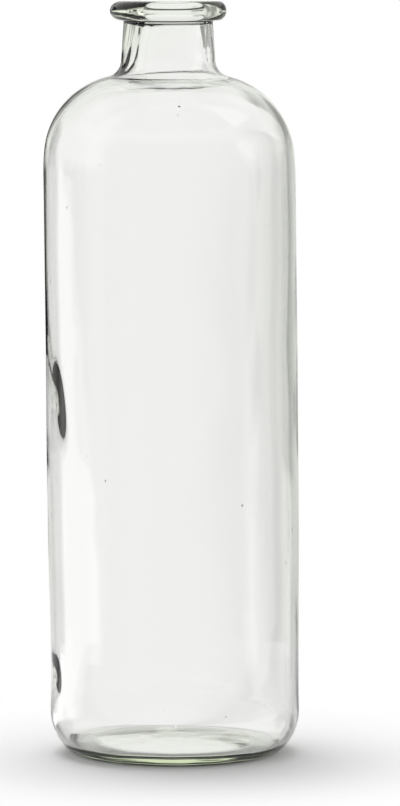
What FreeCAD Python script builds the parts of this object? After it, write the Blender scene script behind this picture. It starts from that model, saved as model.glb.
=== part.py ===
import FreeCAD, Part
import Sketcher
import math
import os

# Bottle vase in thick, hand-blown recycled glass, standing on its foot.
# Millimetres, degrees. The origin is on the table plane at the middle of the foot, +Z up.
#
# The vase is two pieces of glass. The blown shell is the foot, wall, shoulder and neck,
# with a straight bore through the neck. The lip ring is the separate gather that a
# glass blower lays on the cracked-off end of the neck and rolls into a round collar.
# Both are turned forms, so each is one half section swept about Z.

# Driving dimensions. The two sweeps and the taper are angles in degrees, all others are
# lengths in millimetres.
SIZES = [
    # foot and heel
    ("foot_width", 6.0),
    ("punt_rise", 3.5),
    ("heel_inset", 19.0),
    ("heel_radius", 13.0),
    ("low_flank_radius", 45.0),
    # wall
    ("body_radius", 70.0),
    ("wall", 3.0),
    ("floor_thickness", 5.0),
    ("inner_heel_radius", 9.0),
    # shoulder
    ("shoulder_height", 379.5),
    ("crown_inset", 2.2),
    ("high_flank_radius", 160.0),
    ("flank_sweep", 4.8),
    # neck
    ("bore_radius", 18.0),
    ("neck_wall", 6.8),
    ("neck_height", 29.7),
    ("neck_taper", 3.6),
    ("neck_root_radius", 9.5),
    ("inner_root_radius", 12.0),
    ("flare_radius", 3.0),
    ("flare_sweep", 50.0),
    # lip ring
    ("lip_overhang", 7.5),
    ("lip_height", 10.8),
    ("mouth_rounding", 2.5),
    # how far the cavity's cutting profile runs past the end of the neck
    ("overrun", 5.0),
]

# What follows from the driving dimensions, as formulas for the sketches.
FOOT_RADIUS = "(Sizes.body_radius - Sizes.heel_inset)"
NECK_TOP_RADIUS = "(Sizes.bore_radius + Sizes.neck_wall)"
LIP_RADIUS = f"({NECK_TOP_RADIUS} + Sizes.lip_overhang)"
SEAT_HEIGHT = "(Sizes.shoulder_height + Sizes.neck_height)"
TOP_HEIGHT = f"({SEAT_HEIGHT} + Sizes.lip_height)"
LOW_FLANK_HEIGHT = (
    "(Sizes.heel_radius + sqrt((Sizes.low_flank_radius - Sizes.heel_radius)^2"
    " - (Sizes.low_flank_radius - Sizes.heel_inset)^2))"
)
SHOULDER_RADIUS = (
    f"(Sizes.high_flank_radius - (Sizes.high_flank_radius - Sizes.body_radius"
    f" + {NECK_TOP_RADIUS} - Sizes.crown_inset) / cos(Sizes.flank_sweep))"
)

# How a sketch numbers its own axes, and the points of a line or an arc.
H_AXIS, V_AXIS = range(-1, -3, -1)
START, END, CENTRE = range(1, 4)

# An edge is the one looked for when it is off by less than this share of its radius.
MATCH_SHARE = 0.001


def foot_radius(s):
    return s.body_radius - s.heel_inset


def neck_top_radius(s):
    return s.bore_radius + s.neck_wall


def lip_radius(s):
    return neck_top_radius(s) + s.lip_overhang


def seat_height(s):
    """Height of the end of the neck, where the lip ring sits."""
    return s.shoulder_height + s.neck_height


def top_height(s):
    return seat_height(s) + s.lip_height


def shoulder_radius(s):
    """The arc that fills the corner between the upper flank and the foot of the neck."""
    reach = s.high_flank_radius - s.body_radius + neck_top_radius(s) - s.crown_inset
    return s.high_flank_radius - reach / math.cos(math.radians(s.flank_sweep))


def make_sheet(doc):
    """The spreadsheet that every sketch and feature takes its sizes from."""
    sheet = doc.addObject("Spreadsheet::Sheet", "Sizes")
    for row, (name, value) in enumerate(SIZES, start=1):
        sheet.set(f"A{row}", name)
        sheet.set(f"B{row}", str(value))
        sheet.setAlias(f"B{row}", name)
    doc.recompute()
    return sheet


def point(x, z):
    """A point of a half section: x is the distance from the axis, z the height."""
    return FreeCAD.Vector(x, z, 0)


def on_circle(centre, radius, angle):
    """The point of a circle at an angle in degrees."""
    turn = math.radians(angle)
    return centre + point(radius * math.cos(turn), radius * math.sin(turn))


def angle_of(direction):
    return math.degrees(math.atan2(direction.y, direction.x))


def line(start, end):
    return Part.LineSegment(start, end)


def arc(centre, radius, start_angle, end_angle):
    """An arc that runs anticlockwise between two angles in degrees."""
    circle = Part.Circle(centre, FreeCAD.Vector(0, 0, 1), radius)
    return Part.ArcOfCircle(circle, math.radians(start_angle), math.radians(end_angle))


def crown_arc(rim, rise):
    """An arc centred on the axis, from a rim point up to the axis, this much higher."""
    radius = (rim.x ** 2 + rise ** 2) / (2 * rise)
    centre = point(0, rim.y + rise - radius)
    return arc(centre, radius, angle_of(rim - centre), 90)


def new_body(doc, name):
    body = doc.addObject("PartDesign::Body", name)
    body.Label = name
    return body


def new_sketch(body, name):
    """A sketch on the body's upright plane, with height along the sketch's own Y."""
    sketch = body.newObject("Sketcher::SketchObject", name)
    plane = next(o for o in body.Origin.OriginFeatures if o.Role == "XZ_Plane")
    sketch.AttachmentSupport = [(plane, "")]
    sketch.MapMode = "FlatFace"
    return sketch


def join(sketch, first, first_end, second, second_end):
    sketch.addConstraint(Sketcher.Constraint("Coincident", first, first_end, second, second_end))


def tangent(sketch, first, first_end, second, second_end):
    sketch.addConstraint(Sketcher.Constraint("Tangent", first, first_end, second, second_end))


def on_axis(sketch, element, end, axis):
    sketch.addConstraint(Sketcher.Constraint("PointOnObject", element, end, axis))


def bind(sketch, name, formula, constraint):
    """Add a dimension and tie it to the sheet."""
    index = sketch.addConstraint(constraint)
    sketch.renameConstraint(index, name)
    sketch.setExpression(f"Constraints.{name}", formula)


def bind_radius(sketch, name, formula, element, value):
    bind(sketch, name, formula, Sketcher.Constraint("Radius", element, value))


def bind_x(sketch, name, formula, element, end, value):
    bind(sketch, name, formula, Sketcher.Constraint("DistanceX", element, end, value))


def bind_z(sketch, name, formula, element, end, value):
    bind(sketch, name, formula, Sketcher.Constraint("DistanceY", element, end, value))


def bind_angle(sketch, name, formula, element, value):
    bind(sketch, name, formula, Sketcher.Constraint("Angle", element, math.radians(value)))


def revolve(body, kind, name, sketch):
    """A full turn of a half section about Z: a Revolution adds, a Groove cuts."""
    feature = body.newObject(kind, name)
    feature.Profile = sketch
    feature.ReferenceAxis = (sketch, ["V_Axis"])
    feature.Angle = 360
    return feature


def shoulder_centres(s):
    """Centres of the flank arc and of the shoulder arc, which both surfaces share."""
    step = s.high_flank_radius - shoulder_radius(s)
    sweep = math.radians(s.flank_sweep)
    shoulder_z = s.shoulder_height - shoulder_radius(s)
    flank = point(s.body_radius - s.high_flank_radius, shoulder_z - step * math.sin(sweep))
    shoulder = flank + point(step * math.cos(sweep), step * math.sin(sweep))
    return flank, shoulder


def heel_centres(s):
    """Centres of the heel arc and of the flank arc above it, tangent to each other."""
    heel = point(foot_radius(s), s.heel_radius)
    reach = s.low_flank_radius - s.heel_inset
    rise = math.sqrt((s.low_flank_radius - s.heel_radius) ** 2 - reach ** 2)
    flank = point(s.body_radius - s.low_flank_radius, s.heel_radius + rise)
    return heel, flank


def inner_heel_centre(s, low_flank):
    """Centre of the inner heel arc, which touches the floor's edge and the inner flank."""
    height = s.floor_thickness + s.inner_heel_radius
    reach = s.low_flank_radius - s.wall - s.inner_heel_radius
    return point(low_flank.x + math.sqrt(reach ** 2 - (low_flank.y - height) ** 2), height)


def neck_frame(s):
    """The top end of the neck's side, its way down and its outward normal."""
    taper = math.radians(s.neck_taper)
    sweep = math.radians(s.flare_sweep)
    flare_height = s.flare_radius * (math.sin(sweep - taper) + math.sin(taper))
    top = point(neck_top_radius(s), seat_height(s) - flare_height)
    down = point(math.sin(taper), -math.cos(taper))
    outward = point(math.cos(taper), math.sin(taper))
    return top, down, outward


def neck_root_centre(s, shoulder):
    """Centre of the hollow arc that runs from the shoulder into the neck."""
    top, down, outward = neck_frame(s)
    offset = top + outward * s.neck_root_radius - shoulder
    along = offset.dot(down)
    reach = shoulder_radius(s) + s.neck_root_radius
    travel = -along - math.sqrt(along ** 2 - offset.dot(offset) + reach ** 2)
    return shoulder + offset + down * travel


def draw_outside(s, sketch):
    """Half section of the shell as if it were solid: foot, heel, side, shoulder, neck."""
    heel, low_flank = heel_centres(s)
    high_flank, shoulder = shoulder_centres(s)
    top, down, outward = neck_frame(s)
    root = neck_root_centre(s, shoulder)
    flare = top + outward * s.flare_radius
    seat_z = seat_height(s)

    punt_edge = point(foot_radius(s) - s.foot_width, 0)
    foot_edge = point(foot_radius(s), 0)
    heel_angle = angle_of(heel - low_flank)
    root_angle = angle_of(root - shoulder)
    neck_foot = root - outward * s.neck_root_radius
    flare_top = on_circle(flare, s.flare_radius, 180 + s.neck_taper - s.flare_sweep)

    outline = [
        crown_arc(punt_edge, s.punt_rise),
        line(punt_edge, foot_edge),
        arc(heel, s.heel_radius, -90, heel_angle),
        arc(low_flank, s.low_flank_radius, heel_angle, 0),
        line(point(s.body_radius, low_flank.y), point(s.body_radius, high_flank.y)),
        arc(high_flank, s.high_flank_radius, 0, s.flank_sweep),
        arc(shoulder, shoulder_radius(s), s.flank_sweep, root_angle),
        arc(root, s.neck_root_radius, 180 + s.neck_taper, 180 + root_angle),
        line(neck_foot, top),
        arc(flare, s.flare_radius, 180 + s.neck_taper - s.flare_sweep, 180 + s.neck_taper),
        line(flare_top, point(0, seat_z)),
        line(point(0, seat_z), point(0, s.punt_rise)),
    ]
    sketch.addGeometry(outline, False)
    (punt, foot, heel_arc, low_arc, side, high_arc, shoulder_arc, root_arc, neck,
     flare_arc, seat, axis) = range(len(outline))

    # the punt, a shallow push-up centred on the axis
    on_axis(sketch, punt, CENTRE, V_AXIS)
    on_axis(sketch, punt, END, V_AXIS)
    join(sketch, punt, START, foot, START)
    on_axis(sketch, foot, START, H_AXIS)
    on_axis(sketch, foot, END, H_AXIS)
    bind_x(sketch, "punt_edge", f"{FOOT_RADIUS} - Sizes.foot_width", foot, START,
           punt_edge.x)
    bind_x(sketch, "foot_edge", FOOT_RADIUS, foot, END, foot_edge.x)
    bind_z(sketch, "punt_top", "Sizes.punt_rise", punt, END, s.punt_rise)

    # heel and side
    tangent(sketch, foot, END, heel_arc, START)
    tangent(sketch, heel_arc, END, low_arc, START)
    tangent(sketch, low_arc, END, side, START)
    sketch.addConstraint(Sketcher.Constraint("Vertical", side))
    bind_radius(sketch, "heel", "Sizes.heel_radius", heel_arc, s.heel_radius)
    bind_radius(sketch, "low_flank", "Sizes.low_flank_radius", low_arc, s.low_flank_radius)
    bind_x(sketch, "side", "Sizes.body_radius", side, START, s.body_radius)

    # shoulder
    tangent(sketch, side, END, high_arc, START)
    tangent(sketch, high_arc, END, shoulder_arc, START)
    tangent(sketch, shoulder_arc, END, root_arc, END)
    bind_radius(sketch, "high_flank", "Sizes.high_flank_radius", high_arc, s.high_flank_radius)
    bind_angle(sketch, "flank_sweep", "Sizes.flank_sweep", high_arc, s.flank_sweep)
    bind_radius(sketch, "shoulder", SHOULDER_RADIUS, shoulder_arc, shoulder_radius(s))
    bind_z(sketch, "shoulder_centre", f"Sizes.shoulder_height - {SHOULDER_RADIUS}",
           shoulder_arc, CENTRE, shoulder.y)

    # neck, flaring at its end into the seat of the lip ring
    tangent(sketch, root_arc, START, neck, START)
    tangent(sketch, neck, END, flare_arc, END)
    join(sketch, flare_arc, START, seat, START)
    bind_radius(sketch, "root", "Sizes.neck_root_radius", root_arc, s.neck_root_radius)
    bind_angle(sketch, "neck_slope", "90 + Sizes.neck_taper", neck,
               90 + s.neck_taper)
    bind_x(sketch, "neck_top", NECK_TOP_RADIUS, neck, END, neck_top_radius(s))
    bind_radius(sketch, "flare", "Sizes.flare_radius", flare_arc, s.flare_radius)
    bind_angle(sketch, "flare_sweep", "Sizes.flare_sweep", flare_arc, s.flare_sweep)
    sketch.addConstraint(Sketcher.Constraint("Horizontal", seat))
    bind_z(sketch, "seat", SEAT_HEIGHT, seat, START, seat_z)
    on_axis(sketch, seat, END, V_AXIS)
    join(sketch, seat, END, axis, START)
    join(sketch, axis, END, punt, END)


def draw_cavity(s, sketch):
    """Half section of the hollow: bore, inner shoulder, inner side and domed floor."""
    high_flank, shoulder = shoulder_centres(s)
    low_flank = heel_centres(s)[1]
    heel = inner_heel_centre(s, low_flank)
    seat_z = seat_height(s)
    inner_radius = s.body_radius - s.wall
    inner_flank_radius = s.high_flank_radius - s.wall
    inner_shoulder_radius = shoulder_radius(s) - s.wall
    inner_low_radius = s.low_flank_radius - s.wall
    heel_angle = angle_of(heel - low_flank)
    floor_edge = point(heel.x, s.floor_thickness)
    floor_top = point(0, s.floor_thickness + s.punt_rise)

    # the rounded edge where the bore opens into the body touches the inner shoulder
    reach = inner_shoulder_radius + s.inner_root_radius
    aside = s.bore_radius + s.inner_root_radius - shoulder.x
    root = shoulder + point(aside, math.sqrt(reach ** 2 - aside ** 2))
    root_angle = angle_of(root - shoulder)

    outline = [
        line(floor_top, point(0, seat_z + s.overrun)),
        line(point(0, seat_z + s.overrun), point(s.bore_radius, seat_z + s.overrun)),
        line(point(s.bore_radius, seat_z + s.overrun), point(s.bore_radius, root.y)),
        arc(root, s.inner_root_radius, 180, 180 + root_angle),
        arc(shoulder, inner_shoulder_radius, s.flank_sweep, root_angle),
        arc(high_flank, inner_flank_radius, 0, s.flank_sweep),
        line(point(inner_radius, high_flank.y), point(inner_radius, low_flank.y)),
        arc(low_flank, inner_low_radius, heel_angle, 0),
        arc(heel, s.inner_heel_radius, -90, heel_angle),
        crown_arc(floor_edge, s.punt_rise),
    ]
    sketch.addGeometry(outline, False)
    (axis, top, bore, root_arc, shoulder_arc, flank_arc, side, low_arc, heel_arc,
     floor) = range(len(outline))

    # bore
    on_axis(sketch, axis, START, V_AXIS)
    on_axis(sketch, axis, END, V_AXIS)
    join(sketch, axis, END, top, START)
    sketch.addConstraint(Sketcher.Constraint("Horizontal", top))
    join(sketch, top, END, bore, START)
    sketch.addConstraint(Sketcher.Constraint("Vertical", bore))
    bind_z(sketch, "cut_top", f"{SEAT_HEIGHT} + Sizes.overrun",
           top, START, seat_z + s.overrun)
    bind_x(sketch, "bore", "Sizes.bore_radius", bore, START, s.bore_radius)

    # inner shoulder, one wall inside the outer one
    tangent(sketch, bore, END, root_arc, START)
    tangent(sketch, root_arc, END, shoulder_arc, END)
    tangent(sketch, flank_arc, END, shoulder_arc, START)
    tangent(sketch, side, START, flank_arc, START)
    bind_radius(sketch, "inner_root", "Sizes.inner_root_radius", root_arc,
                s.inner_root_radius)
    bind_radius(sketch, "inner_shoulder", f"{SHOULDER_RADIUS} - Sizes.wall",
                shoulder_arc, inner_shoulder_radius)
    bind_radius(sketch, "inner_flank", "Sizes.high_flank_radius - Sizes.wall", flank_arc,
                inner_flank_radius)
    bind_angle(sketch, "flank_sweep", "Sizes.flank_sweep", flank_arc, s.flank_sweep)
    bind_z(sketch, "shoulder_centre", f"Sizes.shoulder_height - {SHOULDER_RADIUS}",
           shoulder_arc, CENTRE, shoulder.y)

    # inner side, heel and domed floor
    sketch.addConstraint(Sketcher.Constraint("Vertical", side))
    bind_x(sketch, "inner_side", "Sizes.body_radius - Sizes.wall", side, END, inner_radius)
    tangent(sketch, low_arc, END, side, END)
    tangent(sketch, heel_arc, END, low_arc, START)
    bind_radius(sketch, "inner_low_flank", "Sizes.low_flank_radius - Sizes.wall", low_arc,
                inner_low_radius)
    bind_z(sketch, "low_flank_centre", LOW_FLANK_HEIGHT, low_arc, CENTRE, low_flank.y)
    sketch.addConstraint(Sketcher.Constraint("Vertical", heel_arc, CENTRE, heel_arc, START))
    bind_radius(sketch, "inner_heel", "Sizes.inner_heel_radius", heel_arc,
                s.inner_heel_radius)
    bind_z(sketch, "floor_edge", "Sizes.floor_thickness", heel_arc, START,
           s.floor_thickness)
    join(sketch, floor, START, heel_arc, START)
    on_axis(sketch, floor, CENTRE, V_AXIS)
    join(sketch, floor, END, axis, START)
    bind_z(sketch, "floor_top", "Sizes.floor_thickness + Sizes.punt_rise", axis, START,
           floor_top.y)


def draw_lip(s, sketch):
    """Half section of the lip ring: flat seat, bore, flat top and half-round outside."""
    seat_z = seat_height(s)
    half_height = s.lip_height / 2
    bead = point(lip_radius(s) - half_height, seat_z + half_height)
    low_inner = point(s.bore_radius, seat_z)
    high_inner = point(s.bore_radius, top_height(s))
    low_outer = point(bead.x, seat_z)
    high_outer = point(bead.x, top_height(s))

    outline = [
        line(low_inner, high_inner),
        line(high_inner, high_outer),
        arc(bead, half_height, -90, 90),
        line(low_outer, low_inner),
    ]
    sketch.addGeometry(outline, False)
    bore, top, outside, seat = range(len(outline))

    join(sketch, bore, END, top, START)
    tangent(sketch, top, END, outside, END)
    tangent(sketch, outside, START, seat, START)
    join(sketch, seat, END, bore, START)
    sketch.addConstraint(Sketcher.Constraint("Vertical", bore))
    sketch.addConstraint(Sketcher.Constraint("Horizontal", top))
    sketch.addConstraint(Sketcher.Constraint("Horizontal", seat))
    bind_x(sketch, "bore", "Sizes.bore_radius", bore, START, s.bore_radius)
    bind_z(sketch, "seat", SEAT_HEIGHT, bore, START, seat_z)
    bind_z(sketch, "top", TOP_HEIGHT, bore, END, top_height(s))
    bind_x(sketch, "bead", f"{LIP_RADIUS} - Sizes.lip_height / 2", outside, CENTRE,
           bead.x)


def circle_edge(shape, radius, height):
    """Name of the round edge of this radius at this height."""
    reach = radius * MATCH_SHARE
    for index, edge in enumerate(shape.Edges, start=1):
        curve = edge.Curve
        if not isinstance(curve, Part.Circle):
            continue
        if abs(curve.Radius - radius) < reach and abs(curve.Center.z - height) < reach:
            return f"Edge{index}"
    raise RuntimeError("the rim to be rounded is missing")


def make_bottle(doc, s):
    """The blown shell: one turned solid, hollowed by one turned cut."""
    body = new_body(doc, "bottle")
    outside = new_sketch(body, "OutsideProfile")
    draw_outside(s, outside)
    shell = revolve(body, "PartDesign::Revolution", "Outside", outside)
    doc.recompute()
    solid_volume = shell.Shape.Volume

    hollow = new_sketch(body, "CavityProfile")
    draw_cavity(s, hollow)
    cavity = revolve(body, "PartDesign::Groove", "Cavity", hollow)
    doc.recompute()
    if not cavity.Shape.Volume < solid_volume:
        raise RuntimeError("the cavity cut nothing")
    return body


def make_lip_ring(doc, s):
    """The rolled collar on the end of the neck, its mouth edge rounded in the fire."""
    body = new_body(doc, "lip_ring")
    section = new_sketch(body, "LipProfile")
    draw_lip(s, section)
    ring = revolve(body, "PartDesign::Revolution", "Ring", section)
    doc.recompute()

    mouth = body.newObject("PartDesign::Fillet", "MouthRounding")
    mouth.Base = (ring, [circle_edge(ring.Shape, s.bore_radius, top_height(s))])
    mouth.setExpression("Radius", "Sizes.mouth_rounding")
    doc.recompute()
    return body


def check(doc, bodies):
    """Stop unless every object computed, every sketch is full and every solid is good."""
    for item in doc.Objects:
        if "Invalid" in item.State or "Error" in item.State:
            raise RuntimeError(f"{item.Label} did not compute: {item.State}")
        if item.isDerivedFrom("Sketcher::SketchObject") and not item.FullyConstrained:
            raise RuntimeError(f"{item.Label} is not fully constrained")
    for body in bodies:
        shape = body.Shape
        if shape.isNull() or not shape.isValid() or len(shape.Solids) != 1:
            raise RuntimeError(f"{body.Label} is not one sound solid")


def export(bodies):
    os.makedirs("parts", exist_ok=True)
    for body in bodies:
        body.Shape.exportStep(f"parts/{body.Label}.step")
        box = body.Shape.optimalBoundingBox(False)
        print(f"{body.Label}: volume {body.Shape.Volume:.0f} mm3, "
              f"radius {box.XMax:.2f} mm, height {box.ZMin:.2f} to {box.ZMax:.2f} mm")


def main():
    doc = FreeCAD.newDocument("BottleVase")
    sizes = make_sheet(doc)
    bodies = [make_bottle(doc, sizes), make_lip_ring(doc, sizes)]
    doc.recompute()
    check(doc, bodies)
    export(bodies)


main()
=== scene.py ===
import math

import bmesh
import bpy
import numpy as np
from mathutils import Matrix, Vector


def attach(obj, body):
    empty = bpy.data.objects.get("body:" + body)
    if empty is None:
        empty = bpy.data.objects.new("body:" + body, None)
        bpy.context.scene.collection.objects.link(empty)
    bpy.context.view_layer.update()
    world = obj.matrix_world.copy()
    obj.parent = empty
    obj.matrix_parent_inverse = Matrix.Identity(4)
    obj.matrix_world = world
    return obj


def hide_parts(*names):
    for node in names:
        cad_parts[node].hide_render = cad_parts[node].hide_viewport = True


# Looks of a hand-blown bottle vase in clear glass with a faint green tint.
# Sizes are in millimetres and angles in degrees; MM turns a length into metres.
# Round the vase, 0 degrees is +X (right), 90 the back, 180 the left and 270 the front,
# where the camera stands.

MM = 0.001

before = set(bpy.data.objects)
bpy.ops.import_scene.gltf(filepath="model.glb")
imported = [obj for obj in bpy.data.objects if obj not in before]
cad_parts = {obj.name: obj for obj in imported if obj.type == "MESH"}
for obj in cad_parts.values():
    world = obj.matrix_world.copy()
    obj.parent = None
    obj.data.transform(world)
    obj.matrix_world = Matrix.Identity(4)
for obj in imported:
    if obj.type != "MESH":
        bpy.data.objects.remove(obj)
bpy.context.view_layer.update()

# Sizes of the glass.

FOOT_RADIUS = 53.5
FOOT_WIDTH = 8.5
PUNT_RISE = 2.8
HEEL_RADIUS = 10.0
LOW_FLANK_RADIUS = 30.0
BODY_RADIUS = 70.0
WALL = 3.0
FLOOR_THICKNESS = 6.2
INNER_HEEL_RADIUS = 5.0
FLOOR_RISE = 4.0
SHOULDER_CENTRE = (22.6, 332.5)
SHOULDER_RADIUS = 47.0
HIGH_FLANK_RADIUS = 160.0
FLANK_SWEEP = 4.8
BORE_RADIUS = 18.0
# the bore opens by this slope down to its root
BORE_TAPER = 10.0
INNER_ROOT_RADIUS = 14.0
# how much thicker the wall gets from the side up to the shoulder's top
SHOULDER_GAIN = 0.5
NECK_TOP_RADIUS = 24.8
NECK_TAPER = 3.6
NECK_ROOT_RADIUS = 9.5
FLARE_RADIUS = 1.6
FLARE_SWEEP = 50.0
SEAT_HEIGHT = 409.2
LIP_RADIUS = 32.3
LIP_HEIGHT = 10.8
MOUTH_ROUNDING = 2.5
TOP_HEIGHT = SEAT_HEIGHT + LIP_HEIGHT

# points round the vase, rings across the seat, and the steps along a profile
AROUND = 320
SEAT_ROWS = 6
STEP = 1.6
FINE_STEP = 0.7
# runs of a profile whose ends are this close share a point
JOIN_GAP = 0.05
# edges with a greater angle between their faces stay sharp
SHARP_ANGLE = 50.0


# Profiles.

def arc(centre, radius, start, end, step):
    """Points (r, z) along an arc between two angles."""
    count = max(3, math.ceil(abs(math.radians(end - start)) * radius / step))
    turns = np.radians(np.linspace(start, end, count + 1))
    return [(centre[0] + radius * math.cos(t), centre[1] + radius * math.sin(t)) for t in turns]


def straight(start, end, step):
    """Points (r, z) along a line."""
    count = max(1, math.ceil(math.dist(start, end) / step))
    return [(start[0] + (end[0] - start[0]) * i / count,
             start[1] + (end[1] - start[1]) * i / count) for i in range(count + 1)]


def crown(rim, rise, step):
    """Points from the axis down a shallow dome to its rim."""
    radius = (rim[0] ** 2 + rise ** 2) / (2 * rise)
    centre = (0.0, rim[1] + rise - radius)
    edge = math.degrees(math.atan2(rim[1] - centre[1], rim[0]))
    return arc(centre, radius, 90, edge, step)


def chain(*runs):
    """One list of points from runs that share their end points."""
    points = list(runs[0])
    for run in runs[1:]:
        points += run[1:] if math.dist(points[-1], run[0]) < JOIN_GAP else run
    return points


def outside_profile():
    """The shell's outside, from the middle of the punt to the outer edge of the seat."""
    heel = (FOOT_RADIUS, HEEL_RADIUS)
    low = low_flank_centre()
    heel_angle = math.degrees(math.atan2(heel[1] - low[1], heel[0] - low[0]))
    high_z = SHOULDER_CENTRE[1] - (HIGH_FLANK_RADIUS - SHOULDER_RADIUS) * math.sin(
        math.radians(FLANK_SWEEP))
    high = (BODY_RADIUS - HIGH_FLANK_RADIUS, high_z)
    taper = math.radians(NECK_TAPER)
    flare_height = FLARE_RADIUS * (math.sin(math.radians(FLARE_SWEEP) - taper) + math.sin(taper))
    top = np.array([NECK_TOP_RADIUS, SEAT_HEIGHT - flare_height])
    out = np.array([math.cos(taper), math.sin(taper)])
    root = neck_root(top, NECK_TAPER, NECK_ROOT_RADIUS, SHOULDER_CENTRE, SHOULDER_RADIUS)
    root_angle = math.degrees(math.atan2(root[1] - SHOULDER_CENTRE[1],
                                         root[0] - SHOULDER_CENTRE[0]))
    flare = top + out * FLARE_RADIUS
    neck_foot = root - out * NECK_ROOT_RADIUS
    return chain(
        crown((FOOT_RADIUS - FOOT_WIDTH, 0.0), PUNT_RISE, STEP),
        straight((FOOT_RADIUS - FOOT_WIDTH, 0.0), (FOOT_RADIUS, 0.0), STEP),
        arc(heel, HEEL_RADIUS, -90, heel_angle, STEP),
        arc(low, LOW_FLANK_RADIUS, heel_angle, 0, STEP),
        straight((BODY_RADIUS, low[1]), (BODY_RADIUS, high[1]), STEP),
        arc(high, HIGH_FLANK_RADIUS, 0, FLANK_SWEEP, STEP),
        arc(SHOULDER_CENTRE, SHOULDER_RADIUS, FLANK_SWEEP, root_angle, STEP),
        arc(root, NECK_ROOT_RADIUS, 180 + root_angle, 180 + NECK_TAPER, FINE_STEP),
        straight(tuple(neck_foot), tuple(top), FINE_STEP),
        arc(flare, FLARE_RADIUS, 180 + NECK_TAPER, 180 + NECK_TAPER - FLARE_SWEEP, FINE_STEP),
    )


def inside_profile():
    """The hollow's surface, from the bore's edge at the seat down to the middle of the floor."""
    inner = BODY_RADIUS - WALL
    inner_shoulder = SHOULDER_RADIUS - WALL - SHOULDER_GAIN
    sweep = math.radians(FLANK_SWEEP)
    high_z = SHOULDER_CENTRE[1] - (HIGH_FLANK_RADIUS - SHOULDER_RADIUS) * math.sin(sweep)
    shoulder = (SHOULDER_CENTRE[0] + SHOULDER_GAIN * math.cos(sweep),
                SHOULDER_CENTRE[1] + SHOULDER_GAIN * math.sin(sweep))
    taper = math.radians(BORE_TAPER)
    top = np.array([BORE_RADIUS, SEAT_HEIGHT])
    root = neck_root(top, BORE_TAPER, INNER_ROOT_RADIUS, shoulder, inner_shoulder)
    root_angle = math.degrees(math.atan2(root[1] - shoulder[1], root[0] - shoulder[0]))
    bore_foot = root - INNER_ROOT_RADIUS * np.array([math.cos(taper), math.sin(taper)])
    low = low_flank_centre()
    low_radius = LOW_FLANK_RADIUS - WALL
    heel_z = FLOOR_THICKNESS + INNER_HEEL_RADIUS
    heel_reach = math.sqrt((low_radius - INNER_HEEL_RADIUS) ** 2 - (low[1] - heel_z) ** 2)
    heel = (low[0] + heel_reach, heel_z)
    heel_angle = math.degrees(math.atan2(heel[1] - low[1], heel[0] - low[0]))
    high = (BODY_RADIUS - HIGH_FLANK_RADIUS, high_z)
    return chain(
        straight(tuple(top), tuple(bore_foot), FINE_STEP),
        arc(root, INNER_ROOT_RADIUS, 180 + BORE_TAPER, 180 + root_angle, FINE_STEP),
        arc(shoulder, inner_shoulder, root_angle, FLANK_SWEEP, STEP),
        arc(high, HIGH_FLANK_RADIUS - WALL, FLANK_SWEEP, 0, STEP),
        straight((inner, high_z), (inner, low[1]), STEP),
        arc(low, low_radius, 0, heel_angle, STEP),
        arc(heel, INNER_HEEL_RADIUS, heel_angle, -90, FINE_STEP),
        crown((heel[0], FLOOR_THICKNESS), FLOOR_RISE, STEP)[::-1],
    )


def neck_root(top, taper, radius, shoulder, shoulder_radius):
    """Middle of the hollow round between a tapered wall, from its top, and the shoulder."""
    down = np.array([math.sin(math.radians(taper)), -math.cos(math.radians(taper))])
    out = np.array([math.cos(math.radians(taper)), math.sin(math.radians(taper))])
    offset = top + out * radius - np.array(shoulder)
    along = offset @ down
    reach = shoulder_radius + radius
    return np.array(shoulder) + offset + down * (
        -along - math.sqrt(along ** 2 - offset @ offset + reach ** 2))


def low_flank_centre():
    """Middle of the arc that leads from the heel up to the side."""
    reach = FOOT_RADIUS - (BODY_RADIUS - LOW_FLANK_RADIUS)
    rise = math.sqrt((LOW_FLANK_RADIUS - HEEL_RADIUS) ** 2 - reach ** 2)
    return (BODY_RADIUS - LOW_FLANK_RADIUS, HEEL_RADIUS + rise)


def lip_profile():
    """The lip ring's section as a closed loop, from the seat's inner edge up the bore."""
    half = LIP_HEIGHT / 2
    bead = (LIP_RADIUS - half, SEAT_HEIGHT + half)
    mouth = (BORE_RADIUS + MOUTH_ROUNDING, TOP_HEIGHT - MOUTH_ROUNDING)
    loop = chain(
        straight((BORE_RADIUS, SEAT_HEIGHT), (BORE_RADIUS, mouth[1]), FINE_STEP),
        arc(mouth, MOUTH_ROUNDING, 180, 90, FINE_STEP),
        straight((mouth[0], TOP_HEIGHT), (bead[0], TOP_HEIGHT), FINE_STEP),
        arc(bead, half, 90, -90, FINE_STEP),
        straight((bead[0], SEAT_HEIGHT), (BORE_RADIUS, SEAT_HEIGHT), FINE_STEP),
    )
    return loop[:-1]


# What the blower's hand did.

# how far up and down a table's corners are rounded off, and from how many samples
EASE_HEIGHT = 14.0
EASE_SAMPLES = 9
# how far the vase's centre line leans off the upright axis, by height
LEAN = [(0, 1.76), (30, 1.72), (75, 1.62), (110, 1.15), (145, 0.84), (165, 0.5), (203, 0.22),
        (225, 0.08), (248, -0.2), (270, -0.48), (293, -0.75), (316, -1.06), (338, -1.4),
        (370, -1.76), (420, -1.76)]
# how far the outline is fuller or slimmer than the turned form, by height
FULLNESS = [(0, 0.0), (18, -0.2), (34, -0.7), (70, -0.65), (85, -0.36), (102, -0.06),
            (119, 0.15), (153, 0.29), (245, 0.2), (300, 0.05), (325, 0.0), (420, 0.0)]
# how much thinner the wall is low down
INNER_FULLNESS = [(0, 0.0), (30, 0.0), (60, 0.7), (165, 0.6), (195, 0.3), (225, 0.0), (420, 0.0)]
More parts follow.
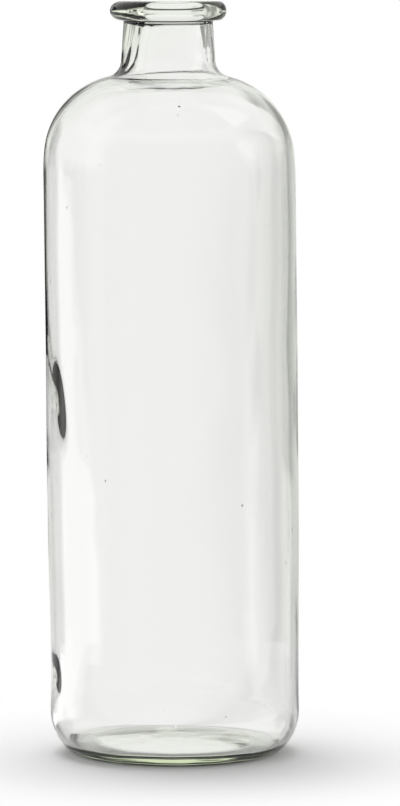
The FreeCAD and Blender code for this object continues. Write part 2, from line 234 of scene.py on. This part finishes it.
# the hollow sits to the left in the body and to the right in the neck
HOLLOW_SHIFT = [(0, 0.0), (12, -0.3), (40, -1.3), (60, -1.5), (170, -1.4), (200, -1.3),
                (300, -1.2), (325, -0.9), (345, -0.4), (365, 0.2), (385, 1.2), (398, 2.5),
                (420, 2.6)]
# Places where the wall is thicker inside. Each is (direction, height, half width in
# degrees, half height, thickness, slant in degrees per millimetre of height, power: 2 for
# a smooth swelling, more for one with a flat top and steep sides).
LUMPS = [(198, 198, 11.5, 18, 2.6, -0.15, 4), (172, 238, 9, 30, 1.1, 0.0, 2),
         (197, 112, 25, 45, 0.45, 0.0, 2), (193, 46, 8, 7, 1.5, -0.1, 4)]


def by_height(table, z):
    """A table's value at a height, rounded off at each entry."""
    heights, values = zip(*table)
    offsets = np.linspace(-EASE_HEIGHT, EASE_HEIGHT, EASE_SAMPLES)
    weights = np.cos(offsets / EASE_HEIGHT * np.pi / 2) ** 2
    total = sum(w * np.interp(z + o, heights, values) for o, w in zip(offsets, weights))
    return total / weights.sum()


def waves(theta, z, table):
    """Sum of smooth ripples. Each is (size, times round, height of one wave, phase)."""
    total = np.zeros(np.broadcast(theta, z).shape)
    for size, turns, length, phase in table:
        total += size * np.sin(turns * theta + 2 * np.pi * z / length + phase)
    return total


# ripples of the outside and of the hollow, between which heights they run, and over what
# height they die out
OUTER_WAVES = [(0.04, 2, 310.0, 0.4), (0.02, 3, -170.0, 2.1)]
INNER_WAVES = [(0.2, 1, 400.0, 1.0), (0.12, 2, -240.0, 3.1), (0.05, 4, 130.0, 0.7),
               (0.02, 7, -83.0, 5.2), (0.01, 11, 61.0, 2.6)]
OUTER_WAVES_FROM, OUTER_WAVES_TO = 30.0, 360.0
INNER_WAVES_FROM, INNER_WAVES_TO = 40.0, 350.0
WAVES_FADE = 25.0
# how uneven the floor's edge is, the same at every height, and between which distances
# from the middle it sets in
UPRIGHT = 1e9
FLOOR_WAVES = [(0.2, 3, UPRIGHT, 0.6), (0.12, 5, UPRIGHT, 2.2), (0.08, 8, UPRIGHT, 4.0),
               (0.05, 13, UPRIGHT, 1.0)]
FLOOR_WAVE_FROM, FLOOR_WAVE_FULL = 25.0, 50.0
# Upright ribs that the tools left in the bore. Each is (direction, half width in degrees,
# height of the rib, how far it sways in degrees, phase of the sway).
RIBS = [(192, 4, 0.10, 1.5, 0.3), (202, 3.5, -0.14, 2.0, 1.7), (211, 3.5, 0.16, 2.0, 0.9),
        (220, 4, -0.12, 2.5, 2.8), (230, 4, 0.14, 2.0, 4.1), (242, 5, -0.08, 2.0, 5.0),
        (300, 5, 0.06, 2.0, 2.2), (318, 4, -0.10, 2.0, 0.6), (331, 4, 0.12, 1.5, 3.3),
        (345, 4, -0.08, 1.5, 1.1), (20, 6, 0.06, 2.0, 2.0), (80, 7, -0.05, 3.0, 4.0),
        (130, 6, 0.06, 3.0, 5.5), (165, 5, 0.10, 2.0, 0.2)]
RIB_SWAY_HEIGHT = 26.0
# the heights over which they set in
RIBS_FROM, RIBS_FULL = 374.0, 388.0


def fade(z, low, high, width):
    """1 between two heights, falling smoothly to 0 over the width outside them."""
    up = np.clip((z - low + width) / width, 0, 1)
    down = np.clip((high + width - z) / width, 0, 1)
    return up * up * (3 - 2 * up) * down * down * (3 - 2 * down)


def lumps(theta, z):
    """How much thicker the wall is where glass has gathered."""
    total = np.zeros(np.broadcast(theta, z).shape)
    for direction, height, half_width, half_height, size, slant, power in LUMPS:
        aside = np.degrees(theta) - direction - slant * (z - height)
        aside = (aside + 180) % 360 - 180
        total += size * np.exp(-np.abs(aside / half_width) ** power
                               - ((z - height) / half_height) ** 2)
    return total


def ribs(theta, z):
    """How far the tool marks stand into the bore."""
    total = np.zeros(np.broadcast(theta, z).shape)
    for direction, half_width, size, sway, phase in RIBS:
        aside = np.degrees(theta) - direction - sway * np.sin(
            2 * np.pi * z / RIB_SWAY_HEIGHT + phase)
        aside = (aside + 180) % 360 - 180
        total += size * np.exp(-(aside / half_width) ** 2)
    share = np.clip((z - RIBS_FROM) / (RIBS_FULL - RIBS_FROM), 0, 1)
    return total * share * share * (3 - 2 * share)


def outer_point(radius, z, theta):
    """Where a point of the outside's profile lies at each direction round the vase."""
    swell = by_height(FULLNESS, z) * np.clip(radius / BODY_RADIUS, 0, 1)
    swell = swell + waves(theta, z, OUTER_WAVES) * fade(
        z, OUTER_WAVES_FROM, OUTER_WAVES_TO, WAVES_FADE)
    r = radius + swell
    return r * np.cos(theta) + by_height(LEAN, z), r * np.sin(theta), z + 0 * theta


def inner_point(radius, z, theta):
    """Where a point of the hollow's profile lies at each direction round the vase."""
    swell = by_height(FULLNESS, z) + by_height(INNER_FULLNESS, z)
    swell = swell * np.clip(radius / BODY_RADIUS, 0, 1)
    swell = swell + waves(theta, z, INNER_WAVES) * fade(
        z, INNER_WAVES_FROM, INNER_WAVES_TO, WAVES_FADE)
    r = radius + swell - lumps(theta, z) - ribs(theta, z)
    x = r * np.cos(theta) + by_height(LEAN, z) + by_height(HOLLOW_SHIFT, z)
    share = np.clip((radius - FLOOR_WAVE_FROM) / (FLOOR_WAVE_FULL - FLOOR_WAVE_FROM), 0, 1)
    share = share * fade(z, 0, FLOOR_THICKNESS + FLOOR_RISE, INNER_HEEL_RADIUS)
    return x, r * np.sin(theta), z + share * waves(theta, z, FLOOR_WAVES)


# Meshes.

def turned_mesh(name, rows, loop):
    """A closed mesh from rings of points. Each row is (placing function, r, z). A row with
    no radius is one point on the axis. With loop the last row joins the first."""
    turns = np.linspace(0, 2 * np.pi, AROUND, endpoint=False)
    points, rings = [], []
    for place, radius, z in rows:
        theta = turns if radius > 0 else np.zeros(1)
        x, y, height = place(radius, z, theta)
        rings.append((len(points), len(theta)))
        points += [(a * MM, b * MM, c * MM) for a, b, c in zip(x, y, height)]
    faces = []
    pairs = list(zip(rings, rings[1:]))
    if loop:
        pairs.append((rings[-1], rings[0]))
    for (a, count_a), (b, count_b) in pairs:
        for i in range(AROUND):
            j = (i + 1) % AROUND
            if count_a == 1:
                faces.append((a, b + j, b + i))
            elif count_b == 1:
                faces.append((a + i, a + j, b))
            else:
                faces.append((a + i, a + j, b + j, b + i))
    mesh = bpy.data.meshes.new(name)
    mesh.from_pydata(points, [], faces)
    mesh.validate()
    obj = bpy.data.objects.new(name, mesh)
    bpy.context.scene.collection.objects.link(obj)
    face_outwards(mesh)
    mesh.polygons.foreach_set("use_smooth", [True] * len(mesh.polygons))
    mesh.set_sharp_from_angle(angle=math.radians(SHARP_ANGLE))
    return obj


def face_outwards(mesh):
    """Turn every face's normal to the outside of the glass."""
    work = bmesh.new()
    work.from_mesh(mesh)
    bmesh.ops.recalc_face_normals(work, faces=work.faces)
    work.to_mesh(mesh)
    work.free()


def bottle_rows():
    """The shell's rings, up the outside, across the seat and down the hollow."""
    outside = [(outer_point, r, z) for r, z in outside_profile()]
    inside = [(inner_point, r, z) for r, z in inside_profile()]
    shares = np.linspace(0, 1, SEAT_ROWS + 2)[1:-1]
    seat = [(seat_point, share, SEAT_HEIGHT) for share in shares]
    return outside + seat + inside


def seat_point(share, z, theta):
    """A point of the flat seat, from its outer edge towards the bore."""
    outer = outer_point(outside_profile()[-1][0], z, theta)
    inner = inner_point(BORE_RADIUS, z, theta)
    return tuple(a + (b - a) * share for a, b in zip(outer, inner))


def lip_point(radius, z, theta):
    """Where a point of the lip ring's section lies: its bore is off to the side and begins
    with the neck's ribs, its outside does neither."""
    bore_share = 1 - np.clip((radius - BORE_RADIUS) / (LIP_RADIUS - BORE_RADIUS), 0, 1)
    shift = by_height(HOLLOW_SHIFT, z) * bore_share
    r = radius
    if z <= SEAT_HEIGHT:
        r = radius - ribs(theta, np.full(theta.shape, SEAT_HEIGHT)) * bore_share
    return r * np.cos(theta) + by_height(LEAN, z) + shift, r * np.sin(theta), z + 0 * theta


# Node helpers.

def node(tree, kind, **settings):
    """A new node with these settings."""
    made = tree.nodes.new(kind)
    for key, value in settings.items():
        setattr(made, key, value)
    return made


def maths(tree, operation, first, second=None):
    """What an operation makes of one or two values, each a number or a socket."""
    made = node(tree, "ShaderNodeMath", operation=operation)
    for socket, value in zip(made.inputs, (first, second)):
        if value is None:
            continue
        if isinstance(value, (int, float)):
            socket.default_value = value
        else:
            tree.links.new(value, socket)
    return made.outputs[0]


def ramp(tree, value, stops):
    """A grey ramp through (position, level) stops."""
    made = node(tree, "ShaderNodeValToRGB")
    made.color_ramp.interpolation = "EASE"
    elements = made.color_ramp.elements
    while len(elements) < len(stops):
        elements.new(0.5)
    for element, (position, level) in zip(elements, stops):
        element.position = position
        element.color = (level, level, level, 1)
    tree.links.new(value, made.inputs[0])
    return made.outputs[0]


def spread(stops, low, high):
    """A table's stops with their positions as shares of the way from low to high."""
    return [((position - low) / (high - low), level) for position, level in stops]


def smooth(tree, value, low, high, start=0.0, end=1.0):
    """A smooth rise from start to end as the value goes from low to high."""
    made = node(tree, "ShaderNodeMapRange", interpolation_type="SMOOTHSTEP")
    for name, given in zip(("Value", "From Min", "From Max", "To Min", "To Max"),
                           (value, low, high, start, end)):
        if isinstance(given, (int, float)):
            made.inputs[name].default_value = given
        else:
            tree.links.new(given, made.inputs[name])
    return made.outputs[0]


def between(tree, value, start, end, soft):
    """1 between two values, falling smoothly to 0 across each of them."""
    return maths(tree, "MULTIPLY", smooth(tree, value, start - soft, start + soft),
                 smooth(tree, value, end - soft, end + soft, 1.0, 0.0))


def bounced(tree, path, kind):
    """1 for a ray that has bounced this way at least once, else 0."""
    return maths(tree, "GREATER_THAN", path.outputs[kind], 0.5)


def blend(tree, share, first, second):
    """The first value where share is 0, the second where it is 1."""
    made = node(tree, "ShaderNodeMix", data_type="FLOAT")
    for socket, value in zip(made.inputs[:1] + made.inputs[2:4], (share, first, second)):
        if isinstance(value, (int, float)):
            socket.default_value = value
        else:
            tree.links.new(value, socket)
    return made.outputs[0]


# Materials.

# how the glass bends light, what a metre of it lets through, and how strongly it colours
GLASS_IOR = 1.5
GLASS_ABSORPTION = (0.66, 0.84, 0.3)
GLASS_DENSITY = 5.5
# Smears on the glass: their roughness, their waves per metre, their detail, and the noise
# between which they set in. Then wear on the foot ring: roughness, and its height in metres.
SMEAR_ROUGHNESS = 0.012
SMEAR_SCALE = (9.0, 9.0, 4.0)
SMEAR_DETAIL = 3.0
SMEAR_FROM, SMEAR_FULL = 0.5, 0.75
WEAR_ROUGHNESS = 0.3
WEAR_HEIGHT = 0.0006
# faint upright cords in the glass: waves per metre, and how deep they are in metres
CORD_SCALE = (45.0, 45.0, 9.0)
CORD_DETAIL = 2.0
CORD_DEPTH = 0.00012
# seeds, the small bubbles just under the skin: one in a cell of this many to the metre,
# how wide each is in cells, and how deep in metres
SEED_SCALE = 36.0
SEED_SIZE = 0.032
SEED_DEPTH = 0.0004


def glass_material():
    """Clear glass: uneven skin, and a tint that grows with the way through it."""
    material = bpy.data.materials.new("clear_green_glass")
    material.use_nodes = True
    tree = material.node_tree
    tree.nodes.clear()
    shader = node(tree, "ShaderNodeBsdfPrincipled")
    shader.inputs["Base Color"].default_value = (1, 1, 1, 1)
    shader.inputs["IOR"].default_value = GLASS_IOR
    shader.inputs["Transmission Weight"].default_value = 1.0
    tree.links.new(smears(tree), shader.inputs["Roughness"])
    tree.links.new(cords_and_seeds(tree), shader.inputs["Normal"])
    volume = node(tree, "ShaderNodeVolumeAbsorption")
    volume.inputs["Color"].default_value = (*GLASS_ABSORPTION, 1)
    volume.inputs["Density"].default_value = GLASS_DENSITY
    output = node(tree, "ShaderNodeOutputMaterial")
    tree.links.new(shader.outputs[0], output.inputs["Surface"])
    tree.links.new(volume.outputs[0], output.inputs["Volume"])
    return material


def stretched(tree, scale):
    """The piece's own coordinates in metres, stretched along each axis."""
    mapping = node(tree, "ShaderNodeMapping")
    mapping.inputs["Scale"].default_value = scale
    tree.links.new(node(tree, "ShaderNodeTexCoord").outputs["Object"], mapping.inputs["Vector"])
    return mapping.outputs[0]


def noise(tree, scale, detail):
    """Noise from 0 to 1 in the piece's own coordinates."""
    made = node(tree, "ShaderNodeTexNoise")
    made.inputs["Scale"].default_value = 1.0
    made.inputs["Detail"].default_value = detail
    tree.links.new(stretched(tree, scale), made.inputs["Vector"])
    return made.outputs[0]


def smears(tree):
    """Roughness: nearly none, a little where hands have smeared, more where the foot rubs."""
    smear = smooth(tree, noise(tree, SMEAR_SCALE, SMEAR_DETAIL), SMEAR_FROM, SMEAR_FULL,
                   0.0, SMEAR_ROUGHNESS)
    axes = node(tree, "ShaderNodeSeparateXYZ")
    tree.links.new(stretched(tree, (1, 1, 1)), axes.inputs[0])
    rubbed = smooth(tree, axes.outputs[2], 0.0, WEAR_HEIGHT, 1.0, 0.0)
    return blend(tree, rubbed, smear, WEAR_ROUGHNESS)


def cords_and_seeds(tree):
    """The glass's skin: faint upright cords, and a dimple over each seed."""
    cords = node(tree, "ShaderNodeBump")
    cords.inputs["Distance"].default_value = CORD_DEPTH
    tree.links.new(noise(tree, CORD_SCALE, CORD_DETAIL), cords.inputs["Height"])
    cells = node(tree, "ShaderNodeTexVoronoi")
    cells.inputs["Scale"].default_value = SEED_SCALE
    tree.links.new(stretched(tree, (1, 1, 1)), cells.inputs["Vector"])
    seeds = node(tree, "ShaderNodeBump")
    seeds.inputs["Distance"].default_value = SEED_DEPTH
    tree.links.new(smooth(tree, cells.outputs["Distance"], 0.0, SEED_SIZE), seeds.inputs["Height"])
    tree.links.new(cords.outputs[0], seeds.inputs["Normal"])
    return seeds.outputs[0]


# Studio.

# The studio as the glass mirrors it: direction round the vase from straight behind it
# (0), left negative and right positive, and how bright it is there.
STUDIO = [(-180, 0.15), (-64, 0.15), (-40, 0.6), (-30, 0.5), (-24, 0.03), (-9, 0.03),
          (-4, 0.7), (0, 0.95), (12, 0.85), (20, 0.7), (27, 0.58), (32, 0.48), (37, 0.32),
          (45, 0.4), (60, 0.35), (80, 0.15), (92, 0.15), (97, 0.36), (112, 0.36), (117, 0.15),
          (180, 0.15)]
# The light box, in degrees to the left: its far edge, and its near edge, which leans and
# so has a direction for each sine of the height above the horizon. Then the lowest sine
# that its near edge is given for, its level, and how soft its edges are.
BOX_FAR = 56.0
BOX_NEAR = [(-0.15, 108.0), (-0.11, 99.0), (-0.065, 80.0), (-0.03, 66.0)]
BOX_NEAR_DEPTH = 0.2
BOX_LEVEL = 1.3
BOX_SOFT = 5.0
# Low pale boards behind the vase, one to the left and one to the right: from and to which
# direction, how bright, and the sines of the height over which their tops end.
BOARDS = [((-30.0, -2.0), 0.8, (-0.112, -0.104)), ((8.0, 55.0), 0.66, (-0.1, -0.09))]
# The pale wall behind the vase, above the horizon, with dark upright bars: how bright by
# direction, how bright over the bars, the sines of the height where the bars end and where
# the wall begins and ends, how far left its middle stands, and how far round it reaches.
WALL_BARS = [(-180, 0.85), (-56, 0.85), (-52, 0.9), (-49, 0.08), (-33, 0.08), (-29, 0.9),
             (-19, 0.9), (-16, 0.22), (-11, 0.22), (-7, 0.9), (12, 0.9), (20, 0.35),
             (45, 0.35), (55, 0.85), (180, 0.85)]
WALL_LEVEL = 0.85
BARS_END, BARS_GONE = 0.25, 0.33
WALL_FROM, WALL_FULL = 0.0, 0.04
WALL_FADE, WALL_END = 0.7, 0.95
WALL_TURN = 25.0
WALL_SIDE, WALL_GONE = 75.0, 110.0
# the soft light overhead
TOP_LEVEL = 0.35
TOP_FROM, TOP_FULL = 0.3, 0.95
# the pale table all round, from this sine of the depth down
TABLE_LEVEL = 0.45
TABLE_FROM, TABLE_FULL = -0.2, -0.45
# Light that went straight through the glass sees a backdrop instead: how bright by the
# sine of the height.
BACKDROP = [(-1.0, 1.0), (0.1, 1.0), (0.5, 0.85), (1.0, 0.8)]
# Eight pale panels stand before it round the vase, each a little duller towards one side:
# their width in degrees, the sines of the height where they begin and end, and the level
# by the degrees from a panel's middle.
PANEL_WIDTH = 45.0
PANEL_FOOT = (-0.3, -0.25)
PANEL_TOP = (-0.036, -0.03)
PANEL = [(-22.5, 1.0), (1.5, 1.0), (3.5, 0.945), (6.4, 0.8), (8.5, 0.79), (12, 0.86),
         (17, 1.0), (22.5, 1.0)]
# A dark board stands before it too, behind the vase to the right: from and to which
# direction, from and to which sine of the height, how bright, and how soft its edges are.
DARK_FROM, DARK_TO = 5.0, 24.0
DARK_FOOT, DARK_TOP = 0.06, 0.25
DARK_LEVEL = 0.3
DARK_SOFT, DARK_SOFT_UP = 1.5, 0.012
# how bright the studio is for the floor's own light
SKY_LIGHT = 0.75
# the studio's own faint green
MIRRORED_TINT = (0.99, 1.0, 0.965)


def studio_level(tree, east, north, up):
    """How bright the studio is in a direction, for light that a surface mirrored."""
    turn = maths(tree, "ARCTAN2", east, north)
    round_share = maths(tree, "ADD", maths(tree, "DIVIDE", turn, 2 * math.pi), 0.5)
    level = ramp(tree, round_share, spread(STUDIO, -180, 180))
    left = maths(tree, "MULTIPLY", turn, -180 / math.pi)
    depth = maths(tree, "MULTIPLY", up, -1 / BOX_NEAR_DEPTH)
    near = maths(tree, "MULTIPLY", ramp(tree, depth, [
        (-sine / BOX_NEAR_DEPTH, angle / 180) for sine, angle in BOX_NEAR[::-1]]), 180)
    near_edge = smooth(tree, maths(tree, "SUBTRACT", left, near), -BOX_SOFT, BOX_SOFT, 1.0, 0.0)
    far_edge = smooth(tree, left, BOX_FAR - BOX_SOFT, BOX_FAR + BOX_SOFT)
    box = maths(tree, "MULTIPLY", near_edge, far_edge)
    level = blend(tree, box, level, BOX_LEVEL)
    right = maths(tree, "MULTIPLY", left, -1.0)
    for (start, end), bright, (low, high) in BOARDS:
        board = maths(tree, "MULTIPLY", between(tree, right, start, end, BOX_SOFT),
                      smooth(tree, up, low, high, 1.0, 0.0))
        level = blend(tree, board, level, bright)
    level = blend(tree, smooth(tree, up, TABLE_FULL, TABLE_FROM, 1.0, 0.0), level, TABLE_LEVEL)
    level = blend(tree, smooth(tree, up, TOP_FROM, TOP_FULL), level, TOP_LEVEL)
    side = maths(tree, "ABSOLUTE", maths(tree, "SUBTRACT", left, WALL_TURN))
    wall = maths(tree, "MULTIPLY", smooth(tree, up, WALL_FROM, WALL_FULL),
                 smooth(tree, up, WALL_FADE, WALL_END, 1.0, 0.0))
    wall = maths(tree, "MULTIPLY", wall, smooth(tree, side, WALL_SIDE, WALL_GONE, 1.0, 0.0))
    bars = ramp(tree, round_share, spread(WALL_BARS, -180, 180))
    plain = smooth(tree, up, BARS_END, BARS_GONE)
    return blend(tree, wall, level, blend(tree, plain, bars, WALL_LEVEL))


def panel_level(tree, east, north, up):
    """How bright the panels are in a direction, for light that went straight through."""
    turn = maths(tree, "MULTIPLY", maths(tree, "ARCTAN2", east, north), 180 / math.pi)
    turn = maths(tree, "ADD", turn, 360 + PANEL_WIDTH / 2)
    within = maths(tree, "DIVIDE", maths(tree, "MODULO", turn, PANEL_WIDTH), PANEL_WIDTH)
    level = ramp(tree, within, spread(PANEL, -PANEL_WIDTH / 2, PANEL_WIDTH / 2))
    here = maths(tree, "MULTIPLY", smooth(tree, up, *PANEL_FOOT),
                 smooth(tree, up, *PANEL_TOP, 1.0, 0.0))
    return blend(tree, here, 1.0, level)


def dark_board_level(tree, east, north, up):
    """How much of the backdrop the dark board leaves in a direction."""
    turn = maths(tree, "MULTIPLY", maths(tree, "ARCTAN2", east, north), 180 / math.pi)
    board = maths(tree, "MULTIPLY", between(tree, turn, DARK_FROM, DARK_TO, DARK_SOFT),
                  between(tree, up, DARK_FOOT, DARK_TOP, DARK_SOFT_UP))
    return blend(tree, board, 1.0, DARK_LEVEL)


def make_world():
    """The studio: one picture for mirrored light, one for light that went straight through,
    plain white for the camera."""
    world = bpy.data.worlds.new("studio")
    world.use_nodes = True
    tree = world.node_tree
    tree.nodes.clear()
    where = node(tree, "ShaderNodeTexCoord").outputs["Generated"]
    axes = node(tree, "ShaderNodeSeparateXYZ")
    tree.links.new(where, axes.inputs[0])
    east, north, up = axes.outputs
    rise = maths(tree, "ADD", maths(tree, "MULTIPLY", up, 0.5), 0.5)
    backdrop = maths(tree, "MULTIPLY", ramp(tree, rise, spread(BACKDROP, -1, 1)),
                     panel_level(tree, east, north, up))
    backdrop = maths(tree, "MULTIPLY", backdrop, dark_board_level(tree, east, north, up))

    path = node(tree, "ShaderNodeLightPath")
    mirrored = bounced(tree, path, "Glossy Depth")
    level = blend(tree, mirrored, backdrop, studio_level(tree, east, north, up))
    level = blend(tree, bounced(tree, path, "Diffuse Depth"), level, SKY_LIGHT)
    level = blend(tree, path.outputs["Is Camera Ray"], level, 1.0)
    light = node(tree, "ShaderNodeBackground")
    tint = node(tree, "ShaderNodeMix", data_type="RGBA")
    white, green = tint.inputs[6:8]
    white.default_value = (1, 1, 1, 1)
    green.default_value = (*MIRRORED_TINT, 1)
    tree.links.new(mirrored, tint.inputs[0])
    tree.links.new(tint.outputs[2], light.inputs["Color"])
    tree.links.new(level, light.inputs["Strength"])
    output = node(tree, "ShaderNodeOutputWorld")
    tree.links.new(light.outputs[0], output.inputs[0])
    bpy.context.scene.world = world


# Floor. Distances from the middle, below, are in metres.

FLOOR_RADIUS = 450.0
FLOOR_SIDES = 128
# how far under the foot it lies
FLOOR_DROP = 0.2
FLOOR_PALENESS = 0.85
# between which distances it turns from pale with a shadow to plain white
FADE_FROM, FADE_TO = 0.07, 0.22
# painted light: how much of the floor turns to plain white glow where it shows through the glass,
# over its own shade and the vase's shadow
PAINTED_LIGHT_THROUGH_SHARE = 0.95
# painted reflection of the panels: how much of their duller stripes lies in the floor's glow, for
# light that went through the glass
PAINTED_PANEL_SHADE_SHARE = 0.6
# Painted reflection: where light leaves the glass for the floor, the floor glows with the
# studio as that light would see it, and with a painted picture of the panels. It is placed
# as far to the side, over this much of the floor, and as far back. Then how steeply, as
# sines: for mirrored light, and for light that went straight through.
EXIT_SIDE, EXIT_EASE, EXIT_BACK = 0.05, 0.1, 0.045
MIRRORED_SINE, STRAIGHT_SINE = -0.13, -0.1
# painted shade under the vase: how bright the floor's glow there is for mirrored light, and how
# far it reaches
UNDER_PAINTED_SHADE_LEVEL = 0.5
UNDER_FROM, UNDER_TO = 0.05, 0.1


def floor_material():
    """A pale floor that holds the vase's shadow and turns plain white away from it. For light
    from the glass it glows with a painted reflection of the studio, painted shade under the
    vase, and painted light where it shows through the glass.
    """
    material = bpy.data.materials.new("pale_floor_painted_light")
    material.use_nodes = True
    tree = material.node_tree
    tree.nodes.clear()
    where = node(tree, "ShaderNodeTexCoord").outputs["Object"]
    distance = node(tree, "ShaderNodeVectorMath", operation="LENGTH")
    tree.links.new(where, distance.inputs[0])
    axes = node(tree, "ShaderNodeSeparateXYZ")
    tree.links.new(where, axes.inputs[0])
    path = node(tree, "ShaderNodeLightPath")
    mirrored = bounced(tree, path, "Glossy Depth")
    aside = smooth(tree, axes.outputs[0], -EXIT_EASE, EXIT_EASE, -EXIT_SIDE, EXIT_SIDE)
    east = maths(tree, "SUBTRACT", axes.outputs[0], aside)
    north = maths(tree, "SUBTRACT", axes.outputs[1], EXIT_BACK)
    # painted reflection: mirrored light that meets the floor sees the studio's picture glowing on
    # it
    seen = studio_level(tree, east, north, MIRRORED_SINE)
    # painted shade: under the vase that glow is dimmed to a flat level
    seen = blend(tree, smooth(tree, distance.outputs["Value"], UNDER_FROM, UNDER_TO),
                 UNDER_PAINTED_SHADE_LEVEL, seen)
    pale = node(tree, "ShaderNodeBsdfDiffuse")
    pale.inputs["Color"].default_value = (FLOOR_PALENESS, FLOOR_PALENESS, FLOOR_PALENESS, 1)
    # the glow's strength carries the painted reflection, the painted shade under the vase and the
    # painted panels, not only plain white
    white = node(tree, "ShaderNodeEmission")
    white.inputs["Color"].default_value = (1, 1, 1, 1)
    # painted reflection of the panels' duller stripes, glowing on the floor for light that went
    # through the glass
    panels = panel_level(tree, east, north, STRAIGHT_SINE)
    ahead = maths(tree, "LESS_THAN", maths(tree, "ABSOLUTE", maths(
        tree, "ARCTAN2", east, north)), math.radians(PANEL_WIDTH / 2))
    panels = blend(tree, maths(tree, "MULTIPLY", ahead, PAINTED_PANEL_SHADE_SHARE), 1.0, panels)
    through = blend(tree, path.outputs["Is Transmission Ray"], 1.0, panels)
    tree.links.new(blend(tree, mirrored, through, seen), white.inputs["Strength"])
    mix = node(tree, "ShaderNodeMixShader")
    # the glow's share: plain white away from the vase, and painted light wherever the floor shows
    # through the glass, over its shade and the vase's shadow
    away = smooth(tree, distance.outputs["Value"], FADE_FROM, FADE_TO)
    away = maths(tree, "MAXIMUM", away, maths(
        tree, "MULTIPLY", path.outputs["Is Transmission Ray"], PAINTED_LIGHT_THROUGH_SHARE))
    tree.links.new(away, mix.inputs[0])
    tree.links.new(pale.outputs[0], mix.inputs[1])
    tree.links.new(white.outputs[0], mix.inputs[2])
    output = node(tree, "ShaderNodeOutputMaterial")
    tree.links.new(mix.outputs[0], output.inputs["Surface"])
    return material


def make_floor():
    """A round floor just under the foot, which belongs to the stage."""
    mesh = bpy.data.meshes.new("floor")
    work = bmesh.new()
    bmesh.ops.create_circle(work, cap_ends=True, radius=FLOOR_RADIUS * MM,
                            segments=FLOOR_SIDES)
    work.to_mesh(mesh)
    work.free()
    floor = bpy.data.objects.new("floor", mesh)
    floor.location.z = -FLOOR_DROP * MM
    bpy.context.scene.collection.objects.link(floor)
    mesh.materials.append(floor_material())


# Lamp: place and size in metres, power in watts. It shines on the foot of the vase.

LAMP_PLACE = (-0.2, 0.5, 1.5)
LAMP_SIZE = 1.2
LAMP_POWER = 12


def make_lamp():
    """A soft light overhead that casts the shadow and isn't seen itself."""
    data = bpy.data.lights.new("top_light", "AREA")
    data.shape = "DISK"
    data.size = LAMP_SIZE
    data.energy = LAMP_POWER
    lamp = bpy.data.objects.new("top_light", data)
    lamp.location = LAMP_PLACE
    lamp.rotation_euler = (-Vector(LAMP_PLACE)).to_track_quat("-Z", "Y").to_euler()
    lamp.visible_camera = False
    lamp.visible_glossy = False
    lamp.visible_transmission = False
    bpy.context.scene.collection.objects.link(lamp)


# Camera: places in metres, pitch down and yaw to the right in degrees, lens in millimetres.

CAMERA_HEIGHT = 0.466
CAMERA_DISTANCE = 2.95
CAMERA_PITCH = 5.2237
CAMERA_YAW = 0.3075
CAMERA_LENS = 237.2355
SENSOR_WIDTH = 36.0


def make_camera():
    """The camera that the photo's outline was fitted to."""
    data = bpy.data.cameras.new("camera")
    data.sensor_width = SENSOR_WIDTH
    data.lens = CAMERA_LENS
    camera = bpy.data.objects.new("camera", data)
    bpy.context.scene.collection.objects.link(camera)
    camera.location = (0, -CAMERA_DISTANCE, CAMERA_HEIGHT)
    camera.rotation_euler = (math.radians(90 - CAMERA_PITCH), 0, math.radians(-CAMERA_YAW))
    bpy.context.scene.camera = camera


# Scene.

def main():
    bpy.context.scene.view_settings.view_transform = "Standard"
    glass = glass_material()
    bottle = turned_mesh("bottle_glass", bottle_rows(), loop=False)
    lip = turned_mesh("lip_ring_glass", [(lip_point, r, z) for r, z in lip_profile()], loop=True)
    for piece, cad_node in ((bottle, "bottle"), (lip, "lip_ring")):
        piece.data.materials.append(glass)
        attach(piece, "root")
        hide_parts(cad_node)
    make_floor()
    make_world()
    make_lamp()
    make_camera()


main()
